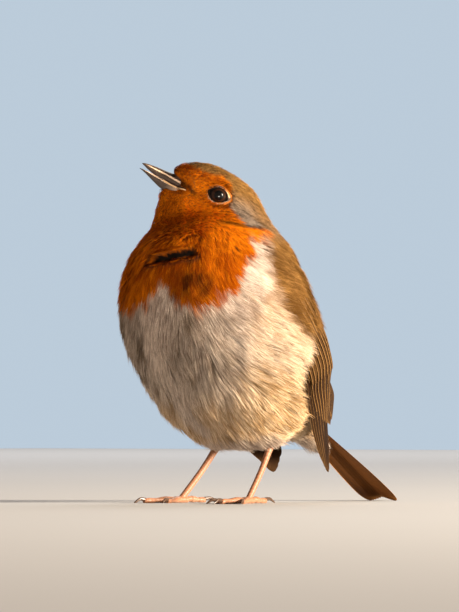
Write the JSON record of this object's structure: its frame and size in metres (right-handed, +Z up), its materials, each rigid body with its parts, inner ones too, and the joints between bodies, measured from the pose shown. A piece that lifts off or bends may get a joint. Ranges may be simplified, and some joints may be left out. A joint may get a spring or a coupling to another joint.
{
  "type": "european robin",
  "caption": "Life-size still model of a European robin standing upright, head turned and bill raised, with orange face and breast, pale belly and brown back, wings and tail.",
  "frame": {"origin": "on the floor, at the middle of the footprint of the whole bird in X and Y", "axes": "+Z up, the breast faces -Y and the tail points to +Y, +X towards the bird's left side"},
  "size_m": [0.066, 0.1188, 0.1138],
  "materials": {
    "plumage_orange": "soft matte feathers",
    "plumage_cream": "soft matte feathers",
    "plumage_buff": "soft matte feathers",
    "plumage_olive": "soft matte feathers",
    "plumage_brown": "firm feathers with a slight sheen",
    "bill": "satin horn",
    "eye": "wet gloss",
    "leg": "satin scaled skin",
    "claw": "satin horn"
  },
  "bodies": {
    "root": {"head": "plumage_orange", "neck": "plumage_orange", "trunk": "plumage_cream", "rump": "plumage_buff", "tail": "plumage_brown", "bill_upper": "bill", "bill_lower": "bill", "thigh_left": "plumage_buff", "thigh_right": "plumage_buff", "wing_coverts_left": "plumage_olive", "wing_coverts_right": "plumage_olive", "wing_tertials_left": "plumage_brown", "wing_tertials_right": "plumage_brown", "wing_primaries_left": "plumage_brown", "wing_primaries_right": "plumage_brown", "eye_left": "eye", "eye_right": "eye", "leg_left": "leg", "leg_right": "leg", "claw_inner_left": "claw", "claw_inner_right": "claw", "claw_middle_left": "claw", "claw_middle_right": "claw", "claw_outer_left": "claw", "claw_outer_right": "claw", "claw_hind_left": "claw", "claw_hind_right": "claw"}
  },
  "joints": []
}
